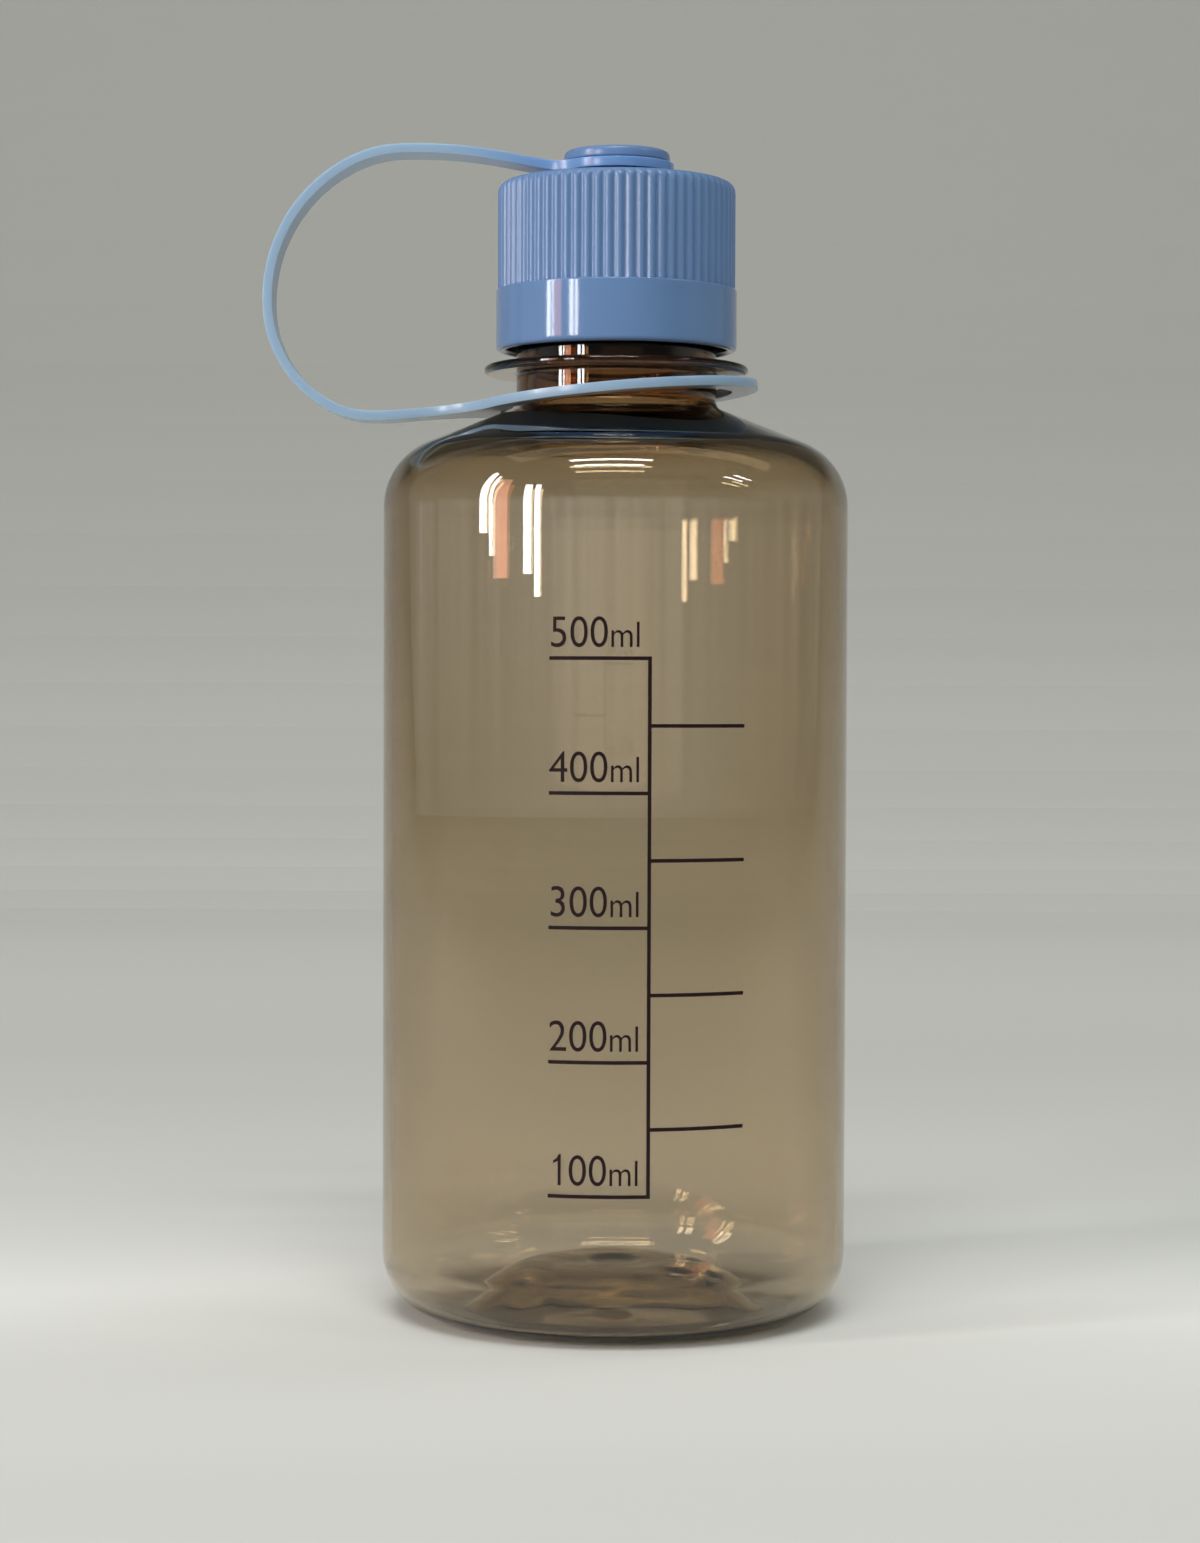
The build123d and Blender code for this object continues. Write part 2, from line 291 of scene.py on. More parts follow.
def select_vertices(piece, test):
    """In edit mode, selects only the vertices that pass a test of their place."""
    bpy.ops.mesh.select_mode(type="VERT")
    bpy.ops.mesh.select_all(action="DESELECT")
    sheet = bmesh.from_edit_mesh(piece.data)
    for vertex in sheet.verts:
        vertex.select = test(vertex.co)
    sheet.select_flush(True)
    bmesh.update_edit_mesh(piece.data)


def start_point(name, point):
    """A new mesh of one vertex at a point of the XZ plane, left in edit mode."""
    leave_and_deselect()
    bpy.ops.mesh.primitive_plane_add(size=MM)
    piece = bpy.context.object
    piece.name = piece.data.name = name
    bpy.ops.object.mode_set(mode="EDIT")
    bpy.ops.mesh.select_mode(type="VERT")
    bpy.ops.mesh.select_all(action="SELECT")
    bpy.ops.mesh.merge(type="CENTER")
    bpy.ops.transform.translate(value=(point.x, 0, point.y))
    return piece


def draw_outline(points):
    """In edit mode, extrudes the one vertex along an outline in XZ, and selects all of it."""
    for here, there in zip(points, points[1:]):
        go = there - here
        bpy.ops.mesh.extrude_region_move(TRANSFORM_OT_translate={"value": (go.x, 0, go.y)})
    bpy.ops.mesh.select_all(action="SELECT")


def lathe(name, outline, steps):
    """Draws an outline and spins it about the Z axis into a shell.

    The outline starts and ends on the axis, or ends at its own start, so the shell is closed.
    """
    outline = held(outline)
    piece = start_point(name, outline[0])
    draw_outline(outline)
    bpy.ops.mesh.spin(steps=steps, angle=TURN, center=(0, 0, 0), axis=(0, 0, 1))
    bpy.ops.mesh.select_all(action="SELECT")
    bpy.ops.mesh.remove_doubles(threshold=TOUCH / 5)
    bpy.ops.mesh.normals_make_consistent(inside=False)
    return piece


def finish_piece(piece, body, material, angle=35):
    """Smooths a finished piece, paints it and hangs it on its body."""
    leave_and_deselect()
    bpy.context.view_layer.objects.active = piece
    piece.select_set(True)
    bpy.ops.object.shade_smooth_by_angle(angle=math.radians(angle))
    piece.data.materials.clear()
    piece.data.materials.append(material)
    if body:
        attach(piece, body)
    leave_and_deselect()


# ---- Materials


def new_material(name):
    """A node material, its Principled shader and its node tree."""
    material = bpy.data.materials.new(name)
    material.use_nodes = True
    shader = material.node_tree.nodes["Principled BSDF"]
    return material, shader, material.node_tree


def wire(node, inputs):
    """Gives a node's inputs their values, or links them to the outputs of other nodes."""
    for name, value in inputs.items():
        if isinstance(value, bpy.types.NodeSocket):
            node.id_data.links.new(value, node.inputs[name])
        else:
            node.inputs[name].default_value = value


def add_node(tree, kind, inputs=None, **settings):
    """A new node of a kind with its settings and its inputs."""
    node = tree.nodes.new("ShaderNode" + kind)
    for name, value in settings.items():
        setattr(node, name, value)
    wire(node, inputs or {})
    return node


def own_place(tree):
    """The place of each point in the piece's own coordinates."""
    return add_node(tree, "TexCoord").outputs["Object"]


def axes_of(tree, place):
    """The X, Y and Z of a place."""
    return add_node(tree, "SeparateXYZ", {"Vector": place}).outputs


def calculate(tree, operation, *values):
    """What a sum of values or outputs comes to."""
    inputs = dict(enumerate(values))
    return add_node(tree, "Math", inputs, operation=operation).outputs["Value"]


def colour_ramp(tree, value, stops):
    """A colour that follows a value from 0 to 1, with stops of (position, colour)."""
    ramp = add_node(tree, "ValToRGB", {"Fac": value})
    elements = ramp.color_ramp.elements
    while len(elements) < len(stops):
        elements.new(1.0)
    for element, (at, colour) in zip(elements, stops):
        element.position = at
        element.color = (*colour, 1)
    return ramp.outputs["Color"]


def scaled(tree, value, span, result, interpolation="LINEAR"):
    """A value brought from one span of (low, high) to another."""
    inputs = {"Value": value, "From Min": span[0], "From Max": span[1],
              "To Min": result[0], "To Max": result[1]}
    node = add_node(tree, "MapRange", inputs, interpolation_type=interpolation)
    return node.outputs["Result"]


def shade_along(tree, value, stops, interpolation="LINEAR"):
    """A colour that follows a value of any span, with stops of (value, colour)."""
    low, high = stops[0][0], stops[-1][0]
    share = scaled(tree, value, (low, high), (0.0, 1.0), interpolation)
    return colour_ramp(tree, share, [((at - low) / (high - low), colour) for at, colour in stops])


def mixed(tree, first, second, share, blend="MIX"):
    """Two colours mixed, or the first multiplied by the second."""
    inputs = {"Factor": share, "A": first, "B": second}
    node = add_node(tree, "Mix", inputs, data_type="RGBA", blend_type=blend)
    return node.outputs["Result"]


def speckle(tree, shader, place, scale, strength, distance):
    """A fine bump of the moulded surface."""
    grain = add_node(tree, "TexNoise", {"Vector": place, "Scale": scale, "Detail": 3.0})
    bump = add_node(tree, "Bump", {
        "Height": grain.outputs["Fac"], "Strength": strength, "Distance": distance})
    wire(shader, {"Normal": bump.outputs["Normal"]})


def mottle(tree, shader, place, colour, scale, spread):
    """A faint drift of a moulded colour, by a share of it to either side."""
    drift = add_node(tree, "TexNoise", {"Vector": place, "Scale": scale})
    darker = [part * (1 - spread) for part in colour]
    lighter = [min(1, part * (1 + spread)) for part in colour]
    shade = colour_ramp(tree, drift.outputs["Fac"], [(0.3, darker), (0.7, lighter)])
    wire(shader, {"Base Color": shade})


def tinted_wall(colour, neck_colour, neck_foot):
    """Clear smoke-brown plastic: what it takes from the light grows with the way through it."""
    material, shader, tree = new_material("tinted_wall")
    height = axes_of(tree, own_place(tree))["Z"]
    neck_stops = [(neck_foot - 4 * MM, (1, 1, 1)), (neck_foot + 1 * MM, neck_colour)]
    wire(shader, {
        "Base Color": shade_along(tree, height, neck_stops),
        "Transmission Weight": 1.0,
        "IOR": 1.57,
        "Roughness": 0.0,
    })
    absorb = add_node(tree, "VolumeAbsorption", {"Color": (*colour, 1), "Density": 495.0})
    wire(tree.nodes["Material Output"], {"Volume": absorb.outputs["Volume"]})
    return material


def cap_plastic(colour, band_top):
    """Moulded plastic of the cap: a polished band under a softer grip."""
    material, shader, tree = new_material("cap_plastic")
    place = own_place(tree)
    speckle(tree, shader, place, 700, 0.05, 0.02 * MM)
    mottle(tree, shader, place, colour, 60, 0.035)
    polish = scaled(tree, axes_of(tree, place)["Z"], (band_top, band_top + 0.4 * MM), (0.10, 0.27))
    wire(shader, {
        "Roughness": polish,
        "IOR": 1.49,
        "Subsurface Weight": 0.15,
        "Subsurface Radius": (0.6, 0.8, 1.0),
        "Subsurface Scale": 1.0 * MM,
    })
    return material


def strap_plastic(colour, eye_colour, eye_place):
    """Softer, slightly see-through strap plastic, the cap's deep blue at the eye and paler along
    the loop as painted sheen.
    """
    material, shader, tree = new_material("strap_plastic")
    place = own_place(tree)
    speckle(tree, shader, place, 700, 0.06, 0.02 * MM)
    away = add_node(tree, "VectorMath", {0: place, 1: eye_place}, operation="DISTANCE")
    # The blue pales from the eye along the loop as painted sheen.
    eye_to_sheen_stops = [(9 * MM, eye_colour), (34 * MM, colour)]
    wire(shader, {
        "Base Color": shade_along(tree, away.outputs["Value"], eye_to_sheen_stops, "SMOOTHSTEP"),
        "Roughness": 0.22,
        "IOR": 1.49,
        "Subsurface Weight": 0.5,
        "Subsurface Radius": (0.7, 0.9, 1.2),
        "Subsurface Scale": 1.6 * MM,
    })
    return material


def scale_ink(colour):
    """Screen-printed ink."""
    material, shader, tree = new_material("scale_ink")
    place = own_place(tree)
    speckle(tree, shader, place, 2500, 0.25, 0.01 * MM)
    mottle(tree, shader, place, colour, 900, 0.25)
    wire(shader, {"Roughness": 0.6, "Specular IOR Level": 0.2})
    return material


def seal_rubber(colour):
    """Soft rubber of the sealing ring."""
    material, shader, tree = new_material("seal_rubber")
    place = own_place(tree)
    speckle(tree, shader, place, 1200, 0.2, 0.02 * MM)
    mottle(tree, shader, place, colour, 120, 0.05)
    wire(shader, {"Roughness": 0.6})
    return material


# ---- The bottle

BOTTLE_STEPS = 160
DISH_POINTS = 16

# Small bends of the neck: the flange's root and rim, and the lip's outside and inside.
COLLAR_ROOT_BEND = 0.35 * MM
COLLAR_RIM_BEND = 0.7 * MM
LIP_BEND = 0.6 * MM
BORE_LIP_BEND = 0.5 * MM

THREAD_FADE = 0.07  # of a turn, at each end of the thread

# How uneven the foot's inside is: how far, how wide a wave is, and how far from the middle it
# is full. Its dents are place across and along, half length, half width, depth and turn.
FOOT_DRIFT = 0.16 * MM
FOOT_WAVE = 7 * MM
FOOT_CALM = 6 * MM
FOOT_DENTS = (
    (11.8, -9.0, 2.2, 0.9, 0.45, 35.0),
    (17.0, -6.0, 2.0, 0.8, 0.40, 60.0),
    (14.0, 2.0, 3.4, 1.6, 0.30, 20.0),
    (-15.0, -4.0, 3.8, 1.8, 0.22, 100.0),
)


def push_up_points(shape, inside):
    """Outline of the pushed-up foot from the axis to its rim, on its outside or its inside."""
    height, rim, top, bend, foot = (shape.push_up_height, shape.push_up_rim, shape.push_up_top,
                                    shape.push_up_bend, 0.0)
    if inside:
        flank = math.atan(height / (rim - top))
        rim += shape.push_up_wall / math.sin(flank) - shape.wall / math.tan(flank)
        top += shape.push_up_wall * math.tan(flank / 2)
        height += shape.push_up_wall
        bend += shape.push_up_wall
        foot = shape.wall
    line = rounded([(0, height, 0), (top, height, bend), (rim, foot, shape.push_up_rim_bend),
                    (rim + 4 * MM, foot, 0)], steps=14)[:-1]
    if inside:
        flat = line[1].x
        places = [flat * n / DISH_POINTS for n in range(DISH_POINTS)]
        level = [Vector((place, height - gate_dish(shape, place))) for place in places]
        line = level + line[1:]
    return line


def gate_dish(shape, across):
    """Depth of the dish in the middle of the push-up at a distance from the axis."""
    return shape.gate_depth * max(0.0, 1 - (across / shape.gate_radius) ** 4) ** 2


def bottle_outline(shape):
    """Closed section of the bottle: up its outside, over the lip and down its inside."""
    outer = BOTTLE_HIGH.x
    rise = math.tan(shape.shoulder_slope)
    upright_wall = shape.wall / math.cos(shape.shoulder_slope)
    root = shape.shoulder_corner + (outer - shape.neck_radius) * rise
    collar_low = root + shape.collar_rise
    collar_high = collar_low + shape.collar_thickness
    inner = outer - shape.wall
    hollow_corner = shape.shoulder_corner + shape.wall * rise - upright_wall
    hollow_root = (shape.shoulder_corner + (outer - shape.bore_radius) * rise - upright_wall
                   - shape.root_thickening)
    under = push_up_points(shape, inside=False)
    neck = [
        (under[-1].x, 0, 0),
        (outer, 0, shape.heel_bend),
        (outer, shape.shoulder_corner, shape.shoulder_bend),
        (shape.neck_radius, root, shape.neck_root_bend),
        (shape.neck_radius, collar_low, COLLAR_ROOT_BEND),
        (shape.collar_radius, collar_low, COLLAR_RIM_BEND),
        (shape.collar_radius, collar_high, COLLAR_RIM_BEND),
        (shape.neck_radius, collar_high, COLLAR_ROOT_BEND),
        (shape.neck_radius, MOUTH, LIP_BEND),
        (shape.bore_radius, MOUTH, BORE_LIP_BEND),
        (shape.bore_radius, hollow_root, shape.bore_root_bend),
        (inner, hollow_corner, shape.shoulder_bend - shape.wall),
        (inner, shape.wall, shape.heel_bend - shape.wall - shape.heel_thinning),
    ]
    inside = push_up_points(shape, inside=True)[::-1]
    line = rounded([*neck, (inside[0].x, shape.wall, 0)], steps=10)
    full = under[:-1]
    for here, there in zip(line, line[1:]):
        full.append(here)
        on_neck = abs(here.x - there.x) < 1e-9 and abs(here.x - shape.neck_radius) < 1e-9
        if on_neck and there.y > collar_high + MM:
            full.extend(stepped(here, there, 0.35 * MM)[:-1])
    return full + inside


def raise_thread(piece, shape):
    """Draws the thread out of the neck's wall as one ridge that fades at both ends."""
    start = (MOUTH - shape.thread_below_lip - shape.thread_root / 2
             - shape.thread_turns * shape.thread_pitch)
    flank = (shape.thread_root - shape.thread_crest) / 2
    for vertex in piece.data.vertices:
        around = math.hypot(vertex.co.x, vertex.co.y)
        if abs(around - shape.neck_radius) > TOUCH:
            continue
        share = share_of_turn(vertex.co)
        lift = 0.0
        for turn in (share, share + 1):
            if turn > shape.thread_turns:
                continue
            off = abs(vertex.co.z - start - turn * shape.thread_pitch)
            slope = min(1.0, max(0.0, (shape.thread_root / 2 - off) / flank))
            end = min(1.0, min(turn, shape.thread_turns - turn) / THREAD_FADE)
            lift = max(lift, shape.thread_height * slope * slope * (3 - 2 * slope) * end)
        move_out(vertex, (around + lift) / around)


def dent_foot(piece, shape):
    """Makes the inside of the push-up slightly uneven, as blown plastic is."""
    ceiling = shape.push_up_height + shape.push_up_wall + 0.1 * MM
    for vertex in piece.data.vertices:
        place = vertex.co
        around = math.hypot(place.x, place.y)
        if place.z > ceiling or around > shape.push_up_rim or not inside_foot(shape, place):
            continue
        drop = FOOT_DRIFT * noise.noise(place / FOOT_WAVE) * min(1.0, around / FOOT_CALM)
        for across, along, long_half, wide_half, depth, turn in FOOT_DENTS:
            away = Vector((place.x - across * MM, place.y - along * MM))
            angle = math.radians(turn)
            lengthwise = (away.x * math.cos(angle) + away.y * math.sin(angle)) / (long_half * MM)
            sideways = (away.y * math.cos(angle) - away.x * math.sin(angle)) / (wide_half * MM)
            drop += depth * MM * math.exp(-(lengthwise**2 + sideways**2))
        vertex.co.z -= drop


def inside_foot(shape, place):
    """Whether a point of the push-up is on its upper side."""
    middle = shape.push_up_height + shape.push_up_wall / 2
    around = math.hypot(place.x, place.y)
    flank = shape.push_up_height * (around - shape.push_up_top) / (
        shape.push_up_rim - shape.push_up_top)
    return place.z > middle - max(0.0, flank) and place.z > shape.wall * 0.9


class BOTTLE_OT_body(Operator):
    """Blow the bottle: body, shoulder, neck, flange and pushed-up foot in one shell"""

    bl_idname = "bottle.body"
    bl_label = "Bottle"

    def execute(self, context):
        shape = context.scene.bottle_shape
        piece = lathe("bottle_wall", bottle_outline(shape), BOTTLE_STEPS)
        leave_and_deselect()
        raise_thread(piece, shape)
        dent_foot(piece, shape)
        finishes = context.scene.finishes
        rise = math.tan(shape.shoulder_slope) * (BOTTLE_HIGH.x - shape.neck_radius)
        plastic = tinted_wall(finishes.wall_tint, finishes.neck_tint, shape.shoulder_corner + rise)
        finish_piece(piece, "bottle", plastic)
        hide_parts("bottle")
        return {"FINISHED"}


# ---- The cap

# Depth of a groove, as a share, at each column from the middle of one rib to the next.
GROOVE_PROFILE = (0.0, 0.03, 0.30, 0.84, 1.0, 0.84, 0.30, 0.03)
COLUMNS = len(GROOVE_PROFILE)

# Where the hollow in the head starts and ends, as shares of the head's radius.
DISH_EDGE = 0.62
DISH_RIM = 0.80


def cap_outline(shape):
    """Closed section of the cap, from the middle of the head round to the core under it."""
    band = CAP_HIGH.x
    crest = band - shape.band_step
    foot = CAP_LOW.z
    band_top = foot + shape.band_height
    top = CEILING + shape.top_wall
    seat = top + shape.seat_height
    head_foot = seat + shape.post_height
    head_top = CAP_HIGH.z
    core_top = CEILING + shape.core_depth
    return rounded([
        (0, head_top - shape.head_dish, 0),
        (shape.head_radius * DISH_EDGE, head_top - shape.head_dish, 1.5 * MM),
        (shape.head_radius * DISH_RIM, head_top, 0.6 * MM),
        (shape.head_radius, head_top, shape.head_bend),
        (shape.head_radius, head_foot, 0.35 * MM),
        (shape.post_radius, head_foot, 0.3 * MM),
        (shape.post_radius, seat, 0.3 * MM),
        (shape.seat_radius, seat, 0.35 * MM),
        (shape.seat_radius, top, 0.4 * MM),
        (crest, top, shape.top_bend),
        (crest, band_top, 0),
        (band, band_top, 0.27 * MM),
        (band, foot, shape.foot_bend),
        (shape.bore_radius, foot, 0.7 * MM),
        (shape.bore_radius, CEILING, 0.6 * MM),
        (shape.core_radius, CEILING, 0.4 * MM),
        (shape.core_radius, core_top, 0.6 * MM),
        (0, core_top, 0),
    ], steps=5)


def cut_grooves(piece, shape):
    """Pushes the columns between the ribs in to the floor of their groove."""
    crest = CAP_HIGH.x - shape.band_step
    low = CAP_LOW.z + shape.band_height - TOUCH
    high = CEILING + shape.top_wall
    for vertex in piece.data.vertices:
        around = math.hypot(vertex.co.x, vertex.co.y)
        in_grip = shape.seat_radius + MM < around < crest + 5 * TOUCH
        if not (in_grip and low < vertex.co.z < high):
            continue
        column = round(share_of_turn(vertex.co) * shape.rib_count * COLUMNS) % COLUMNS
        floor = crest - shape.groove_depth * GROOVE_PROFILE[column]
        if around > floor:
            move_out(vertex, floor / around)


class BOTTLE_OT_cap(Operator):
    """Mould the cap: plain band, ribbed grip, top and the headed boss"""

    bl_idname = "bottle.cap"
    bl_label = "Cap"

    def execute(self, context):
        shape = context.scene.cap_shape
        piece = lathe("ribbed_cap", cap_outline(shape), shape.rib_count * COLUMNS)
        leave_and_deselect()
        cut_grooves(piece, shape)
        plastic = cap_plastic(context.scene.finishes.cap_blue, CAP_LOW.z + shape.band_height)
        finish_piece(piece, "cap", plastic, angle=42)
        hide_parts("cap")
        return {"FINISHED"}


# ---- The sealing ring

RING_STEPS = 128
RING_BEND = 0.4 * MM


class BOTTLE_OT_seal(Operator):
    """Mould the soft ring that seals the lip"""

    bl_idname = "bottle.seal"
    bl_label = "Sealing ring"

    def execute(self, context):
        inner, outer = context.scene.cap_shape.seal_radius, SEAL_HIGH.x
        low, high = SEAL_LOW.z, SEAL_HIGH.z
        middle = (inner + outer) / 2
        line = rounded([
            (middle, low, 0),
            (outer, low, RING_BEND),
            (outer, high, RING_BEND),
            (inner, high, RING_BEND),
            (inner, low, RING_BEND),
            (middle, low, 0),
        ])
        piece = lathe("sealing_ring_soft", line, RING_STEPS)
        finish_piece(piece, "seal", seal_rubber(context.scene.finishes.seal))
        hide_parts("sealing_ring")
        return {"FINISHED"}


# ---- The strap

# The strap's bends after its level eye: radius and turn, where a left turn is positive.
RISE_BEND = (8.0 * MM, -10.5)
CREST_BEND = (79.5 * MM, 12.4)
BROW_BEND = (20.8 * MM, 25.9)
OUTER_RADIUS = 26.2 * MM
HEEL_BEND = (20.0 * MM, 65.0)
UNDER_BEND = (13.8 * MM, 22.7)
TAIL_RADIUS = 45.8 * MM

# The flat moulding's faces: across and along the band, and between a plate's rim and its hole.
# The band's ends follow the round plates for a share of its length.
HALF_COLUMNS = 8
BAND_ROWS = 150
PLATE_ROWS = 3
PLATE_FIT = 1 / 12


class StrapLine:
    """The strap's middle line seen from the side, as runs and bends that follow each other."""

    def __init__(self, place, heading):
        self.place = Vector(place)
        self.heading = heading
        self.parts = []
        self.length = 0.0

    def add(self, run, radius=0.0):
        """Adds a run of a length, bent to a radius: left if it is positive, right if negative."""
        self.parts.append((self.length, self.place.copy(), self.heading, radius))
        self.place, self.heading = self.step(self.place, self.heading, run, radius)
        self.length += run

    def bend(self, radius, degrees):
        """Adds an arc that turns by an angle."""
        turn = math.radians(degrees)
        self.add(abs(turn) * radius, math.copysign(radius, turn))

    @staticmethod
    def step(place, heading, run, radius):
        """Where a run ends, and which way it then heads."""
        if radius == 0:
            return place + Vector((math.cos(heading), math.sin(heading))) * run, heading
        after = heading + run / radius
        go = Vector((math.sin(after) - math.sin(heading), math.cos(heading) - math.cos(after)))
        return place + go * radius, after

    def at(self, along):
        """The place and heading at a length along the strap, straight on past its ends."""
        part = self.parts[0]
        for each in self.parts:
            if each[0] <= along:
                part = each
        start, place, heading, radius = part
        if along < 0:
            radius = 0.0
        return self.step(place, heading, along - start, radius)


def strap_line(bottle, cap, strap):
    """Lays the strap from the middle of its eye round to the middle of its neck ring."""
    top = CEILING + cap.top_wall
    eye_height = top + cap.seat_height + cap.post_height / 2
    tilt = strap.ring_tilt
    slope = math.tan(bottle.shoulder_slope)
    shoulder = bottle.shoulder_corner + (BOTTLE_HIGH.x - strap.ring_hole) * slope
    ring_height = (shoulder + strap.ring_clearance + strap.ring_hole * math.tan(tilt)
                   + strap.thickness / 2 / math.cos(tilt))
    tail_turn = 90 + math.degrees(tilt) - HEEL_BEND[1] - UNDER_BEND[1]
    line = StrapLine((0, eye_height), math.pi)
    line.add(strap.eye_radius + strap.eye_lead)
    line.bend(*RISE_BEND)
    line.add(strap.rise_run)
    line.bend(*CREST_BEND)
    line.bend(*BROW_BEND)
    line.bend(OUTER_RADIUS, 90 - RISE_BEND[1] - CREST_BEND[1] - BROW_BEND[1])
    below = StrapLine((0, 0), 1.5 * math.pi)
    below.bend(*HEEL_BEND)
    below.bend(*UNDER_BEND)
    below.bend(TAIL_RADIUS, tail_turn)
    gap = Vector((0, ring_height)) - line.place - below.place
    tail_run = gap.x / math.cos(tilt)
    line.add(tail_run * math.sin(tilt) - gap.y)
    line.bend(*HEEL_BEND)
    line.bend(*UNDER_BEND)
    line.bend(TAIL_RADIUS, tail_turn)
    line.add(tail_run)
    return line


def blend_reach(radius, blend, half_width):
    """Where a blend leaves a round plate, as an angle, and how far out it meets the band."""
    across = half_width + blend
    out = math.sqrt((radius + blend) ** 2 - across**2)
    return math.atan2(across, out), out


def half_width_at(out, radius, blend, half_width):
    """Half the band's width at a distance from the middle of a round plate."""
    angle, reach = blend_reach(radius, blend, half_width)
    if out >= reach:
        return half_width
    return half_width + blend - math.sqrt(max(0.0, blend**2 - (reach - out) ** 2))


def flat_ring(name, radius, hole, place, steps):
    """A flat ring of quads about a point of the X axis."""
    leave_and_deselect()
    bpy.ops.mesh.primitive_circle_add(vertices=steps, radius=radius, fill_type="NOTHING",
                                      rotation=(0, 0, math.pi / 2))
    ring = bpy.context.object
    ring.name = name
    bpy.ops.object.transform_apply(location=False, rotation=True, scale=False)
    edit_all()
    for row in range(PLATE_ROWS):
        here = radius + (hole - radius) * row / PLATE_ROWS
        there = radius + (hole - radius) * (row + 1) / PLATE_ROWS
        bpy.ops.mesh.extrude_edges_move()
        bpy.ops.transform.resize(value=(there / here, there / here, 1), center_override=(0, 0, 0))
    bpy.ops.mesh.select_all(action="SELECT")
    bpy.ops.transform.translate(value=(place, 0, 0))
    bpy.ops.object.mode_set(mode="OBJECT")
    return ring


def strap_band(strap, total, eye_angle, ring_angle):
    """The band of the flat moulding, from the rim of the eye to the rim of the neck ring."""
    half = strap.width / 2
    leave_and_deselect()
    bpy.ops.mesh.primitive_grid_add(
        x_subdivisions=BAND_ROWS, y_subdivisions=2 * HALF_COLUMNS, size=2)
    band = bpy.context.object
    band.name = "strap_band"

    def station(share, side):
        near = strap.eye_radius * math.cos(side * eye_angle)
        far = total - strap.ring_radius * math.cos(side * ring_angle)
        return near + (far - near) * share

    for vertex in band.data.vertices:
        share, side = (vertex.co.x + 1) / 2, vertex.co.y
        edge = station(share, 1.0)
        half_eye = half_width_at(edge, strap.eye_radius, strap.eye_blend, half)
        half_ring = half_width_at(total - edge, strap.ring_radius, strap.ring_blend, half)
        wide = max(half_eye, half_ring)
        near_share = math.sin(side * eye_angle) / math.sin(eye_angle)
        far_share = math.sin(side * ring_angle) / math.sin(ring_angle)
        near_weight = max(0.0, 1 - share / PLATE_FIT)
        far_weight = max(0.0, 1 - (1 - share) / PLATE_FIT)
        across = side + (near_share - side) * near_weight + (far_share - side) * far_weight
        vertex.co = Vector((station(share, side), across * wide, 0))
    return band


class BOTTLE_OT_strap(Operator):
    """Mould the strap flat, give it its thickness and bend it into its loop"""

    bl_idname = "bottle.strap"
    bl_label = "Strap"

    def execute(self, context):
        strap = context.scene.strap_shape
        line = strap_line(context.scene.bottle_shape, context.scene.cap_shape, strap)
        half = strap.width / 2
        eye_angle, _ = blend_reach(strap.eye_radius, strap.eye_blend, half)
        ring_angle, _ = blend_reach(strap.ring_radius, strap.ring_blend, half)
        eye_steps = round(TURN / (eye_angle / HALF_COLUMNS))
        ring_steps = round(TURN / (ring_angle / HALF_COLUMNS))
        eye = flat_ring("strap_eye", strap.eye_radius, strap.eye_hole, 0, eye_steps)
        ring = flat_ring("strap_ring", strap.ring_radius, strap.ring_hole, line.length, ring_steps)
        band = strap_band(strap, line.length, TURN / eye_steps * HALF_COLUMNS,
                          TURN / ring_steps * HALF_COLUMNS)
        join(band, (eye, ring, band), "moulded_strap")
        edit_all()
        bpy.ops.mesh.remove_doubles(threshold=5 * TOUCH)
        bpy.ops.mesh.normals_make_consistent(inside=False)
        bpy.ops.object.mode_set(mode="OBJECT")
        apply_modifier(band, "thickness", "SOLIDIFY", thickness=strap.thickness, offset=0)
        apply_modifier(band, "edges", "BEVEL", width=strap.edge_bend, segments=3,
                       limit_method="ANGLE", angle_limit=math.radians(50))
        for vertex in band.data.vertices:
            place, heading = line.at(vertex.co.x)
            out = Vector((math.sin(heading), -math.cos(heading)))
            place = place + out * vertex.co.z
            vertex.co = Vector((place.x, vertex.co.y, place.y))
        edit_all()
        bpy.ops.mesh.normals_make_consistent(inside=False)
        finishes = context.scene.finishes
        plastic = strap_plastic(finishes.strap_sheen_blue, finishes.eye_blue, (0, 0, line.at(0)[0].y))
        finish_piece(band, None, plastic)
        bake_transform(band)
        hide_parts("strap")
        return {"FINISHED"}


# ---- The printed scale

HUNDREDS = range(1, 6)
INK_LIFT = 0.008 * MM  # between the wall and the ink's underside
LINE_SHARE = 0.5127  # where the upright line stands, from the scale's left to its right
LETTER_TRIM = -0.004  # thinner strokes than the font's own, in letter sizes
LETTER_MERGE = 0.001


def wrap_on_wall(piece):
    """Wraps a flat print, drawn in X and Z with its thickness in -Y, round the body's wall."""
    wall = BOTTLE_HIGH.x + INK_LIFT
    for vertex in piece.data.vertices:
        across = vertex.co.x / wall
        out = wall - vertex.co.y
        vertex.co = Vector((out * across, -out * math.sqrt(1 - across**2), vertex.co.z))


def face_front(piece):
    """Turns every face of a flat print towards -Y."""
    sheet = bmesh.new()
    sheet.from_mesh(piece.data)
    sheet.normal_update()
    bmesh.ops.reverse_faces(sheet, faces=[face for face in sheet.faces if face.normal.y > 0])
    sheet.to_mesh(piece.data)
    sheet.free()


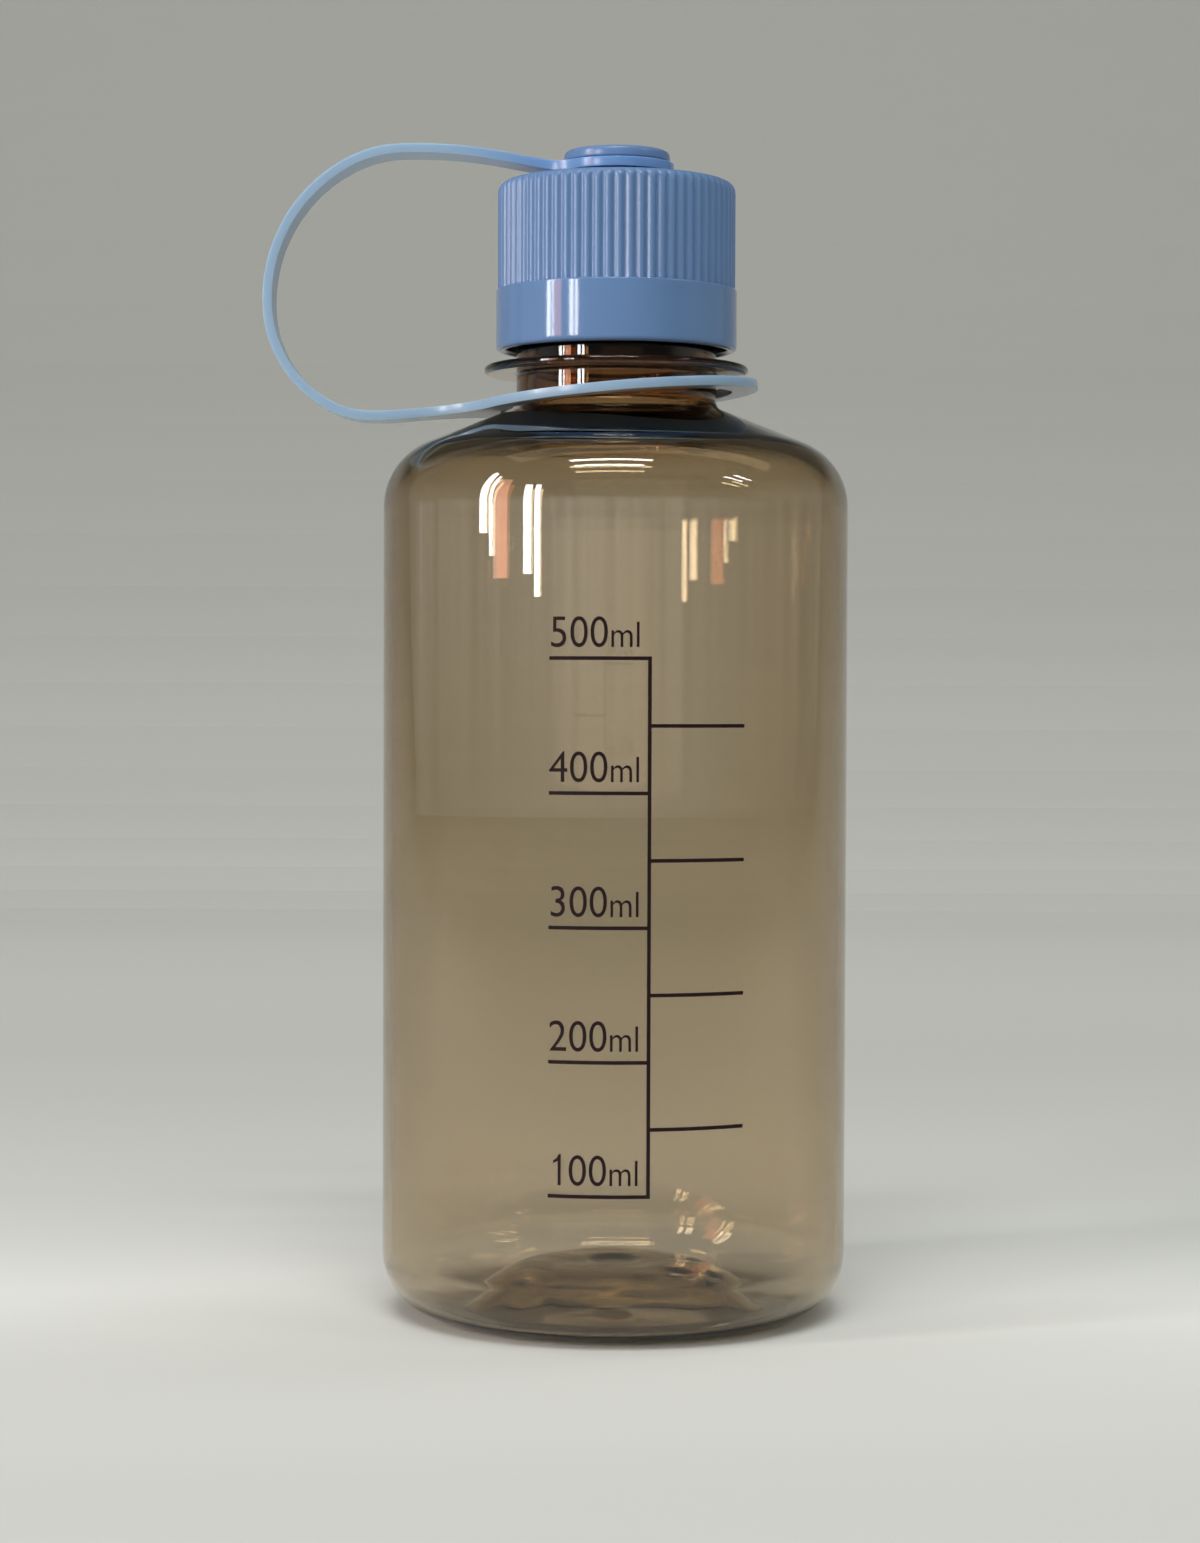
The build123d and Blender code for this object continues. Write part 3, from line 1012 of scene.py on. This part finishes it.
def scale_marks(shape):
    """The upright line with the marks drawn out of its sides."""
    left, right = INK_LOW.x, INK_HIGH.x
    line_x = left + (right - left) * LINE_SHARE
    half = shape.line / 2
    low, high = INK_LOW.z, INK_HIGH.z
    leave_and_deselect()
    bpy.ops.mesh.primitive_plane_add(size=1, rotation=(math.pi / 2, 0, 0))
    marks = bpy.context.object
    marks.name = "scale_marks"
    bpy.ops.object.transform_apply(location=False, rotation=True, scale=False)
    edit_all()
    bpy.ops.transform.resize(value=(shape.line, 1, high - low), center_override=(0, 0, 0))
    bpy.ops.transform.translate(value=(line_x, 0, (low + high) / 2))
    whole = [shape.zero + shape.step * n for n in HUNDREDS]
    middle = [shape.zero + shape.step * (n + 0.5) for n in HUNDREDS[:-1]]
    for height in whole + middle:
        for cut in (height - half, height + half):
            if low + 5 * TOUCH < cut < high - 5 * TOUCH:
                bpy.ops.mesh.select_all(action="SELECT")
                bpy.ops.mesh.bisect(plane_co=(0, 0, cut), plane_no=(0, 0, 1))
    for heights, side, end in ((whole, -1, left), (middle, 1, right)):
        edge = line_x + side * half
        select_vertices(marks, lambda place: abs(place.x - edge) < TOUCH and any(
            abs(place.z - height) < half + 2 * TOUCH for height in heights))
        keep_short_edges(marks, shape.line * 1.5)
        steps = round(abs(end - edge) / MM)
        for _ in range(steps):
            bpy.ops.mesh.extrude_edges_move(
                TRANSFORM_OT_translate={"value": ((end - edge) / steps, 0, 0)})
    bpy.ops.mesh.select_all(action="SELECT")
    bpy.ops.object.mode_set(mode="OBJECT")
    return marks


def keep_short_edges(piece, limit):
    """In edit mode, keeps only the selected edges that are shorter than a limit."""
    bpy.ops.mesh.select_mode(type="EDGE")
    sheet = bmesh.from_edit_mesh(piece.data)
    for edge in sheet.edges:
        if edge.select and edge.calc_length() > limit:
            edge.select = False
    sheet.select_flush_mode()
    bmesh.update_edit_mesh(piece.data)


def flat_text(words, left, foot, size, width):
    """A word as a flat mesh in the XZ plane, by the size and the narrowing of its letters."""
    leave_and_deselect()
    bpy.ops.object.text_add(rotation=(math.pi / 2, 0, 0))
    label = bpy.context.object
    label.data.body = words
    label.data.offset = LETTER_TRIM
    label.data.resolution_u = 5
    bpy.ops.object.convert(target="MESH")
    bpy.ops.object.transform_apply(location=False, rotation=True, scale=False)
    edit_all()
    bpy.ops.mesh.remove_doubles(threshold=LETTER_MERGE)
    bpy.ops.transform.resize(value=(size * width, 1, size), center_override=(0, 0, 0))
    bpy.ops.transform.translate(value=(left, 0, foot))
    bpy.ops.object.mode_set(mode="OBJECT")
    return label


def figure_one(left, foot, size, width):
    """The figure 1 with its flag, in the same place and weight as the other figures."""
    left_edge = ((0.26, 0.0), (0.26, 0.545), (0.145, 0.485), (0.145, 0.555), (0.235, 0.61))
    right_edge = ((0.335, 0.0), (0.335, 0.545), (0.335, 0.60), (0.335, 0.64), (0.335, 0.70))
    figure = bpy.data.meshes.new("figure_one")
    points = [(left + x * size * width, 0, foot + z * size)
              for x, z in (*left_edge, *right_edge, (0.285, 0.70))]
    faces = [(0, 5, 6, 1), (1, 6, 7, 4), (1, 4, 3, 2), (4, 7, 8), (4, 8, 9, 10)]
    figure.from_pydata(points, [], faces)
    piece = bpy.data.objects.new("figure_one", figure)
    bpy.context.collection.objects.link(piece)
    return piece


class BOTTLE_OT_scale(Operator):
    """Print the scale: its line, marks and plain numbers, wrapped round the wall"""

    bl_idname = "bottle.scale"
    bl_label = "Printed scale"

    def execute(self, context):
        shape = context.scene.scale_shape
        marks = scale_marks(shape)
        parts = [marks]
        left = shape.digits_left
        digits = shape.digit_size, shape.digit_width
        unit = shape.unit_size, shape.unit_width
        pitch = 0.5 * shape.digit_size * shape.digit_width
        for hundred in HUNDREDS:
            foot = shape.zero + shape.step * hundred + shape.line / 2 + shape.gap
            if hundred == 1:
                parts.append(figure_one(left, foot, *digits))
            else:
                parts.append(flat_text(f"{hundred}", left, foot, *digits))
            parts.append(flat_text("00", left + pitch, foot, *digits))
            parts.append(flat_text("ml", shape.unit_left, foot, *unit))
        join(marks, parts, "scale_print")
        face_front(marks)
        apply_modifier(marks, "skin", "SOLIDIFY", thickness=shape.ink_thickness, offset=1)
        wrap_on_wall(marks)
        finish_piece(marks, "bottle", scale_ink(context.scene.finishes.ink))
        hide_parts("printed_scale")
        return {"FINISHED"}


# ---- The stage

# The floor runs back and bends up into the backdrop. Places are along the room, in metres.
FLOOR_FRONT = -2.2
FLOOR_BACK = 1.7
WALL_TOP = 2.4
WALL_BEND = 0.8
ROOM_WIDTH = 5.0

# Colour and painted light of the paper from front to back, as (place, share of the floor's
# colour against the backdrop's, brightness). The brightness is painted light and shade: a painted
# pool of light just behind the bottle, and lighter and darker bands along the floor and up the
# backdrop. The front part is pale where it is looked at and dim where it only mirrors in the
# bottle's wall, a painted shade in that reflection.
PAPER_AND_PAINTED_LIGHT_FRONT = ((-2.20, 1.0, 0.62), (-1.30, 1.0, 0.70), (-0.80, 1.0, 0.76), (-0.35, 1.0, 0.80))
DIM_FRONT = ((-2.20, 1.0, 0.05), (-1.30, 1.0, 0.07), (-0.80, 1.0, 0.13), (-0.35, 1.0, 0.46))
PAPER_AND_PAINTED_LIGHT_BACKWARD = (
    (-0.129, 1.0, 0.85), (-0.069, 1.0, 0.93), (-0.032, 1.0, 1.01), (0.01, 1.0, 1.14),
    (0.06, 0.98, 1.00), (0.119, 0.95, 0.89), (0.19, 0.84, 0.90), (0.28, 0.72, 0.91),
    (0.395, 0.55, 0.97), (0.545, 0.40, 1.11), (0.75, 0.25, 1.24), (1.05, 0.0, 1.36),
    (1.17, 0.0, 1.25), (1.34, 0.0, 1.18),
)
# Painted shade of what mirrors, by how much further a place is to the side than to the back, and
# painted shade of the wall by its height, dark high up.
PAINTED_SHADE_SIDEWAYS = ((0.0, 1.0), (0.6, 1.0), (1.1, 0.5), (2.5, 0.25))
PAINTED_SHADE_UPWARD = (
    (0.0, 1.0), (0.10, 0.97), (0.16, 0.89), (0.22, 0.85), (0.30, 0.79), (0.62, 0.79), (0.95, 0.23),
)

# The far side of the room: its distance, its height, how far back it reaches, and its brightness
# by azimuth in degrees, to the right of the front.
ROOM_RADIUS = 2.1
ROOM_HEIGHT = 0.29
ROOM_END = 0.9
ROOM_GLOW = (
    (-125, 1.1), (-100, 1.0), (-70, 0.95), (-40, 1.2), (-12, 1.25), (10, 0.85), (30, 1.0),
    (48, 0.65), (75, 0.40), (90, 0.45),
)

# Strips of daylight to the front left: two edges of azimuth, two of elevation as the bottle's
# middle sees them, what they give, and their colour.
WINDOW_STRIPS = (
    ("window_a", 65.0, 69.0, 2.8, 34.0, 20.0, (1.0, 1.0, 1.0)),
    ("window_b", 61.5, 63.3, 2.3, 30.0, 20.0, (1.0, 1.0, 1.0)),
    ("curtain", 53.5, 61.0, 1.8, 26.0, 6.5, (1.0, 0.42, 0.27)),
    ("window_c", 41.0, 45.0, 1.9, 19.0, 20.0, (1.0, 1.0, 1.0)),
    ("window_d", 36.6, 39.4, 1.4, 19.0, 20.0, (1.0, 0.97, 0.95)),
)
WINDOW_DISTANCE = 2.0
WINDOW_EYE = 0.125

# Tubes on the ceiling: the middle's place across and along the room.
CEILING_TUBES = (
    ("tube_near", -0.06, -0.82),
    ("tube_far", -0.09, -1.18),
    ("tube_right_near", 2.66, -0.95),
    ("tube_right_far", 2.66, -1.30),
)
TUBE_HEIGHT = 1.64
TUBE_SIZE = (0.95, 0.13)
TUBE_GLOW = 20.0
TUBE_COLOUR = (1.0, 1.0, 0.93)

# Soft lamps that show in no reflection: place, what they face, size and what they give.
SOFT_LAMPS = (
    ("soft_fill", (0.3, -0.6, 1.9), (0, 0, 0.1), (2.2, 1.6), 0.57),
    ("front_fill", (0.2, -1.5, 0.6), (0, 0, 0.1), (1.6, 1.2), 0.75),
    ("backdrop_wash", (0.5, 0.5, 2.3), (0.3, 1.6, 0.3), (3.6, 0.9), 1.9),
)

# Light of the rest of the room by how steeply it falls, and the share that its front and its
# back give of it.
SKY_STOPS = (
    (0.0, (0.42, 0.43, 0.40)), (0.20, (0.36, 0.37, 0.35)), (0.42, (0.10, 0.10, 0.10)),
    (1.0, (0.05, 0.05, 0.05)),
)
SKY_EDGE = (-0.45, -0.20)
SKY_SHARES = (0.20, 0.85)

# The camera's place, and its picture in pixels: size, focal length, the bottle's axis and the
# horizon.
CAMERA_DISTANCE = 0.559
CAMERA_HEIGHT = 0.1089
CAMERA_ROLL = math.radians(0.2)
PICTURE_WIDTH = 1200
PICTURE_HEIGHT = 1543
FOCAL_PIXELS = 3230
AXIS_COLUMN = 614.8
HORIZON_ROW = 681.3
SENSOR = 36  # millimetres


class BOTTLE_OT_stage(Operator):
    """Set the floor, backdrop, lamps and camera"""

    bl_idname = "bottle.stage"
    bl_label = "Stage"

    def execute(self, context):
        set_floor(context.scene.finishes)
        set_room_side()
        set_lamps()
        set_world(context)
        set_camera(context)
        context.scene.view_settings.view_transform = "Standard"
        return {"FINISHED"}


def set_floor(finishes):
    """A pale floor that runs back and bends up into a grey-green backdrop, with painted shade at
    its top.
    """
    line = rounded([(FLOOR_FRONT, 0, 0), (FLOOR_BACK, 0, WALL_BEND), (FLOOR_BACK, WALL_TOP, 0)],
                   steps=24)
    piece = start_point("floor", line[0])
    draw_outline(line)
    bpy.ops.mesh.extrude_region_move(TRANSFORM_OT_translate={"value": (0, ROOM_WIDTH, 0)})
    bpy.ops.mesh.select_all(action="SELECT")
    bpy.ops.transform.translate(value=(0, -ROOM_WIDTH / 2, 0))
    bpy.ops.object.mode_set(mode="OBJECT")
    for vertex in piece.data.vertices:
        vertex.co = Vector((vertex.co.y, vertex.co.x, vertex.co.z))
    leave_and_deselect()
    piece.data.materials.append(floor_paper_painted_light(finishes))


def floor_paper_painted_light(finishes):
    """Matte paper, pale round the bottle and grey-green further back, with painted light and
    shade.
    """
    material, shader, tree = new_material("floor_paper_painted_light")
    axes = axes_of(tree, own_place(tree))
    beside = calculate(tree, "SUBTRACT", calculate(tree, "ABSOLUTE", axes["X"]), axes["Y"])
    near, far = finishes.floor, finishes.backdrop
    seen, mirrored = ([(at, [bright * (a * part + b * (1 - part)) for a, b in zip(near, far)])
                       for at, part, bright in (*front, *PAPER_AND_PAINTED_LIGHT_BACKWARD)]
                      for front in (PAPER_AND_PAINTED_LIGHT_FRONT, DIM_FRONT))
    sideways, upward = ([(at, (bright, bright, bright)) for at, bright in table]
                        for table in (PAINTED_SHADE_SIDEWAYS, PAINTED_SHADE_UPWARD))
    # Painted shade in what the bottle mirrors: dim to the front and to the sides.
    dim = mixed(tree, shade_along(tree, axes["Y"], mirrored),
                shade_along(tree, beside, sideways), 1.0, "MULTIPLY")
    looked_at = add_node(tree, "LightPath").outputs["Is Camera Ray"]
    pale = mixed(tree, dim, shade_along(tree, axes["Y"], seen), looked_at)
    # Painted shade by height: the backdrop darkens high up.
    wire(shader, {
        "Base Color": mixed(tree, pale, shade_along(tree, axes["Z"], upward), 1.0, "MULTIPLY"),
        "Roughness": 0.95,
        "Specular IOR Level": 0.1,
    })
    return material


def set_room_side():
    """The far side of the room, which only shows as soft upright streaks in the bottle's wall."""
    leave_and_deselect()
    bpy.ops.mesh.primitive_circle_add(vertices=120, radius=ROOM_RADIUS, fill_type="NOTHING")
    piece = bpy.context.object
    piece.name = piece.data.name = "room_side"
    bpy.ops.object.mode_set(mode="EDIT")
    select_vertices(piece, lambda place: place.y > ROOM_END)
    bpy.ops.mesh.delete(type="VERT")
    bpy.ops.mesh.select_all(action="SELECT")
    bpy.ops.mesh.extrude_edges_move(TRANSFORM_OT_translate={"value": (0, 0, ROOM_HEIGHT)})
    leave_and_deselect()
    piece.data.materials.append(room_glow())
    piece.visible_camera = piece.visible_shadow = piece.visible_diffuse = False


def room_glow():
    """Uneven light of a room, in upright streaks that grow stronger with height."""
    material, shader, tree = new_material("room_glow")
    tree.nodes.remove(shader)
    axes = axes_of(tree, own_place(tree))
    around = calculate(tree, "ARCTAN2", axes["X"], calculate(tree, "MULTIPLY", axes["Y"], -1.0))
    glow = shade_along(tree, around, [(math.radians(at), (bright, bright, bright))
                                      for at, bright in ROOM_GLOW])
    streaks = add_node(tree, "TexNoise", {"W": around, "Scale": 9.0, "Detail": 3.0},
                       noise_dimensions="1D")
    contrast = scaled(tree, streaks.outputs["Fac"], (0.35, 0.65), (0.4, 1.6))
    rise = scaled(tree, axes["Z"], (0.0, 0.24), (0.10, 0.45), "SMOOTHSTEP")
    streaked = calculate(tree, "MULTIPLY_ADD", rise, contrast, 0.20)
    light = add_node(tree, "Emission", {"Strength": calculate(tree, "MULTIPLY", streaked, glow)})
    wire(tree.nodes["Material Output"], {"Surface": light.outputs["Emission"]})
    return material


def area_lamp(name, place, aim, size, radiance, colour=(1, 1, 1)):
    """An area lamp at a place, facing a point, as bright as its radiance says."""
    leave_and_deselect()
    bpy.ops.object.light_add(type="AREA", location=place)
    lamp = bpy.context.object
    lamp.name = name
    lamp.data.shape = "RECTANGLE"
    lamp.data.size, lamp.data.size_y = size
    lamp.data.energy = radiance * math.pi * size[0] * size[1]
    lamp.data.color = colour
    lamp.rotation_euler = (Vector(aim) - Vector(place)).to_track_quat("-Z", "Y").to_euler()
    lamp.visible_camera = False
    return lamp


def set_lamps():
    """Windows to the front left, tubes on the ceiling and a soft fill from above."""
    for name, near, far, low, high, radiance, colour in WINDOW_STRIPS:
        side = math.radians((near + far) / 2)
        foot, head = (WINDOW_DISTANCE * math.tan(math.radians(part)) + WINDOW_EYE
                      for part in (low, high))
        width = WINDOW_DISTANCE * math.radians(far - near)
        place = (-WINDOW_DISTANCE * math.sin(side), -WINDOW_DISTANCE * math.cos(side),
                 (foot + head) / 2)
        area_lamp(name, place, (0, 0, place[2]), (width, head - foot), radiance, colour)
    for name, across, along in CEILING_TUBES:
        place = (across, along, TUBE_HEIGHT)
        area_lamp(name, place, (across, along, 0), TUBE_SIZE, TUBE_GLOW, TUBE_COLOUR)
    for name, place, aim, size, radiance in SOFT_LAMPS:
        area_lamp(name, place, aim, size, radiance).visible_glossy = False


def set_world(context):
    """Even light from the rest of the room, brighter from its back than from its front."""
    world = bpy.data.worlds.new("room")
    context.scene.world = world
    world.use_nodes = True
    tree = world.node_tree
    axes = axes_of(tree, add_node(tree, "TexCoord").outputs["Generated"])
    wire(tree.nodes["Background"], {
        "Color": colour_ramp(tree, axes["Z"], SKY_STOPS),
        "Strength": scaled(tree, axes["Y"], SKY_EDGE, SKY_SHARES),
    })


def set_camera(context):
    """A level long lens, a little over half a metre in front."""
    leave_and_deselect()
    bpy.ops.object.camera_add(location=(0, -CAMERA_DISTANCE, CAMERA_HEIGHT))
    camera = bpy.context.object
    camera.name = "front_camera"
    camera.data.sensor_fit = "VERTICAL"
    camera.data.sensor_height = SENSOR
    camera.data.lens = SENSOR * FOCAL_PIXELS / PICTURE_HEIGHT
    camera.data.clip_start = 0.01
    pitch = math.atan((PICTURE_HEIGHT / 2 - HORIZON_ROW) / FOCAL_PIXELS)
    yaw = math.atan((AXIS_COLUMN - PICTURE_WIDTH / 2) / FOCAL_PIXELS)
    camera.rotation_euler = (math.pi / 2 - pitch, 0, yaw)
    camera.rotation_euler.rotate_axis("Z", CAMERA_ROLL)
    context.scene.camera = camera


# ---- The add-on


class BOTTLE_PT_panel(Panel):
    """A button for each piece"""

    bl_label = "Tethered bottle"
    bl_idname = "BOTTLE_PT_panel"
    bl_space_type = "VIEW_3D"
    bl_region_type = "UI"
    bl_category = "Bottle"

    def draw(self, context):
        for operator in PIECES:
            self.layout.operator(operator.bl_idname)


SHAPES = {
    "bottle_shape": BottleShape,
    "cap_shape": CapShape,
    "strap_shape": StrapShape,
    "scale_shape": ScaleShape,
    "finishes": Finishes,
}
PIECES = (
    BOTTLE_OT_body,
    BOTTLE_OT_scale,
    BOTTLE_OT_seal,
    BOTTLE_OT_cap,
    BOTTLE_OT_strap,
    BOTTLE_OT_stage,
)


def register():
    for group in SHAPES.values():
        bpy.utils.register_class(group)
    for name, group in SHAPES.items():
        setattr(bpy.types.Scene, name, PointerProperty(type=group))
    for kind in (*PIECES, BOTTLE_PT_panel):
        bpy.utils.register_class(kind)


def unregister():
    for kind in (BOTTLE_PT_panel, *reversed(PIECES)):
        bpy.utils.unregister_class(kind)
    for name in SHAPES:
        delattr(bpy.types.Scene, name)
    for group in reversed(SHAPES.values()):
        bpy.utils.unregister_class(group)


def main():
    register()
    for operator in PIECES:
        group, name = operator.bl_idname.split(".")
        getattr(getattr(bpy.ops, group), name)()


if __name__ == "__main__":
    main()
